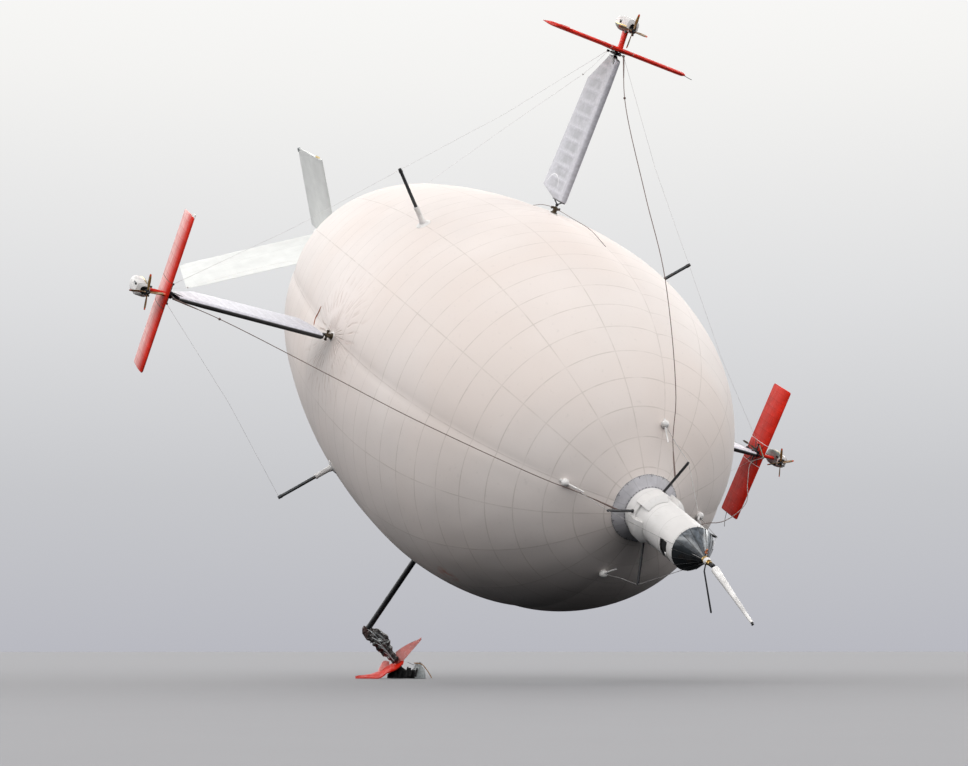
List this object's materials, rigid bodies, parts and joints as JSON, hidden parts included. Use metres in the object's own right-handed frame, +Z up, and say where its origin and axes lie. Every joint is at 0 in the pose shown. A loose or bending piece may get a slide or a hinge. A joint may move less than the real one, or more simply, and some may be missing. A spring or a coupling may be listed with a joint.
{
  "type": "hybrid airship with bladed arms, 1:2 scale model",
  "caption": "Creased rigid-pressure airship moored by its nose, with bladed arms carrying cross wings and propellers, finned tail boom and a crushed lower arm.",
  "frame": {"origin": "on the hull axis in the plane of the arms, where the lifting gas holds the airship up", "axes": "+Z up and +X along the heading of the nose, with the hull pitched 27 degrees nose down and rolled 10.3 degrees port down as it is moored"},
  "size_m": [29.5841, 21.4727, 18.5663],
  "materials": {
    "envelope_fabric": "matt coated cloth, warm white",
    "cap_fabric": "matt coated cloth, grey blue",
    "white_paint": "satin paint",
    "cone_glass": "dark tinted glazing",
    "black_steel": "satin black paint",
    "brass": "machined",
    "red_paint": "satin paint",
    "blade_cover": "doped cover, matt",
    "bare_steel": "bare, weathered",
    "propeller_wood": "varnished, red tips",
    "torn_skin": "torn and crumpled skin"
  },
  "bodies": {
    "root": {"envelope": "envelope_fabric", "nose_cap": "cap_fabric", "tail_cap": "cap_fabric", "nose_drum": "white_paint", "nose_struts": "black_steel", "nose_glass": "cone_glass", "mooring_spindle": "brass", "tail_bearing": "white_paint", "root_lower": "black_steel", "spar_lower": "black_steel", "wreck_wing": "red_paint", "wreck_skin": "torn_skin", "wreck_engine": "torn_skin", "nose_ball_upper": "white_paint", "nose_ball_starboard": "white_paint", "nose_ball_lower": "white_paint", "nose_ball_port": "white_paint", "post_starboard_upper": "bare_steel", "post_starboard_lower": "bare_steel", "post_port_lower": "bare_steel", "post_port_upper": "bare_steel", "root_upper": "black_steel", "head_upper": "black_steel", "stay_upper": "bare_steel", "root_starboard": "black_steel", "head_starboard": "black_steel", "stay_starboard": "bare_steel", "root_port": "black_steel", "head_port": "black_steel", "stay_port": "bare_steel"},
    "blade_upper": {"spar_upper": "black_steel", "blade_upper": "blade_cover"},
    "tip_upper": {"wing_upper": "red_paint", "nacelle_upper": "white_paint", "engine_upper": "bare_steel"},
    "propeller_upper": {"propeller_upper": "propeller_wood"},
    "blade_starboard": {"spar_starboard": "black_steel", "blade_starboard": "blade_cover"},
    "tip_starboard": {"wing_starboard": "red_paint", "nacelle_starboard": "white_paint", "engine_starboard": "bare_steel"},
    "propeller_starboard": {"propeller_starboard": "propeller_wood"},
    "blade_port": {"spar_port": "black_steel", "blade_port": "blade_cover"},
    "tip_port": {"wing_port": "red_paint", "nacelle_port": "white_paint", "engine_port": "bare_steel"},
    "propeller_port": {"propeller_port": "propeller_wood"},
    "tail": {"tail_boom": "white_paint", "tail_fin_port_upper": "white_paint", "tail_fin_starboard_upper": "white_paint", "tail_fin_starboard_lower": "white_paint", "tail_fin_port_lower": "white_paint"},
    "swivel": {"mooring_swivel": "black_steel"},
    "pole": {"mooring_pole": "white_paint"}
  },
  "joints": [
    {"name": "blade_pitch_upper", "type": "hinge", "parent": "root", "child": "blade_upper", "pos_m": [3.35006, 1.34102, 6.57486], "axis": [0.4467, 0.1788, 0.8766], "range_deg": [-15, 90]},
    {"name": "tip_turn_upper", "type": "hinge", "parent": "root", "child": "tip_upper", "pos_m": [4.37741, 1.75226, 8.59115], "axis": [0.4467, 0.1788, 0.8766], "range_deg": [-15, 90]},
    {"name": "propeller_spin_upper", "type": "hinge", "parent": "tip_upper", "child": "propeller_upper", "pos_m": [5.0553, 1.86312, 8.93038], "axis": [0.891, 0, -0.454], "continuous": true},
    {"name": "blade_pitch_starboard", "type": "hinge", "parent": "root", "child": "blade_starboard", "pos_m": [0.57721, -7.39145, 1.13284], "axis": [0.077, -0.9855, 0.151], "range_deg": [-15, 90]},
    {"name": "tip_turn_starboard", "type": "hinge", "parent": "root", "child": "tip_starboard", "pos_m": [0.75422, -9.65816, 1.48024], "axis": [0.077, -0.9855, 0.151], "range_deg": [-15, 90]},
    {"name": "propeller_spin_starboard", "type": "hinge", "parent": "tip_starboard", "child": "propeller_starboard", "pos_m": [1.20289, -10.26919, 1.36959], "axis": [0.891, 0, -0.454], "continuous": true},
    {"name": "blade_pitch_port", "type": "hinge", "parent": "root", "child": "blade_port", "pos_m": [-0.62459, 7.37274, -1.22582], "axis": [-0.0833, 0.983, -0.1634], "range_deg": [-15, 90]},
    {"name": "tip_turn_port", "type": "hinge", "parent": "root", "child": "tip_port", "pos_m": [-0.81613, 9.63371, -1.60174], "axis": [-0.0833, 0.983, -0.1634], "range_deg": [-15, 90]},
    {"name": "propeller_spin_port", "type": "hinge", "parent": "tip_port", "child": "propeller_port", "pos_m": [-0.46681, 10.24319, -1.90738], "axis": [0.891, 0, -0.454], "continuous": true},
    {"name": "tail_swivel", "type": "hinge", "parent": "root", "child": "tail", "pos_m": [-10.24657, 0, 5.22089], "axis": [0.891, 0, -0.454], "continuous": true},
    {"name": "mooring_swivel", "type": "hinge", "parent": "root", "child": "swivel", "pos_m": [11.27123, 0, -5.74298], "axis": [0.891, 0, -0.454], "continuous": true},
    {"name": "pole_hinge", "type": "hinge", "parent": "swivel", "child": "pole", "pos_m": [11.35142, 0, -5.78384], "axis": [0, 1, 0], "range_deg": [-85, 60]}
  ]
}
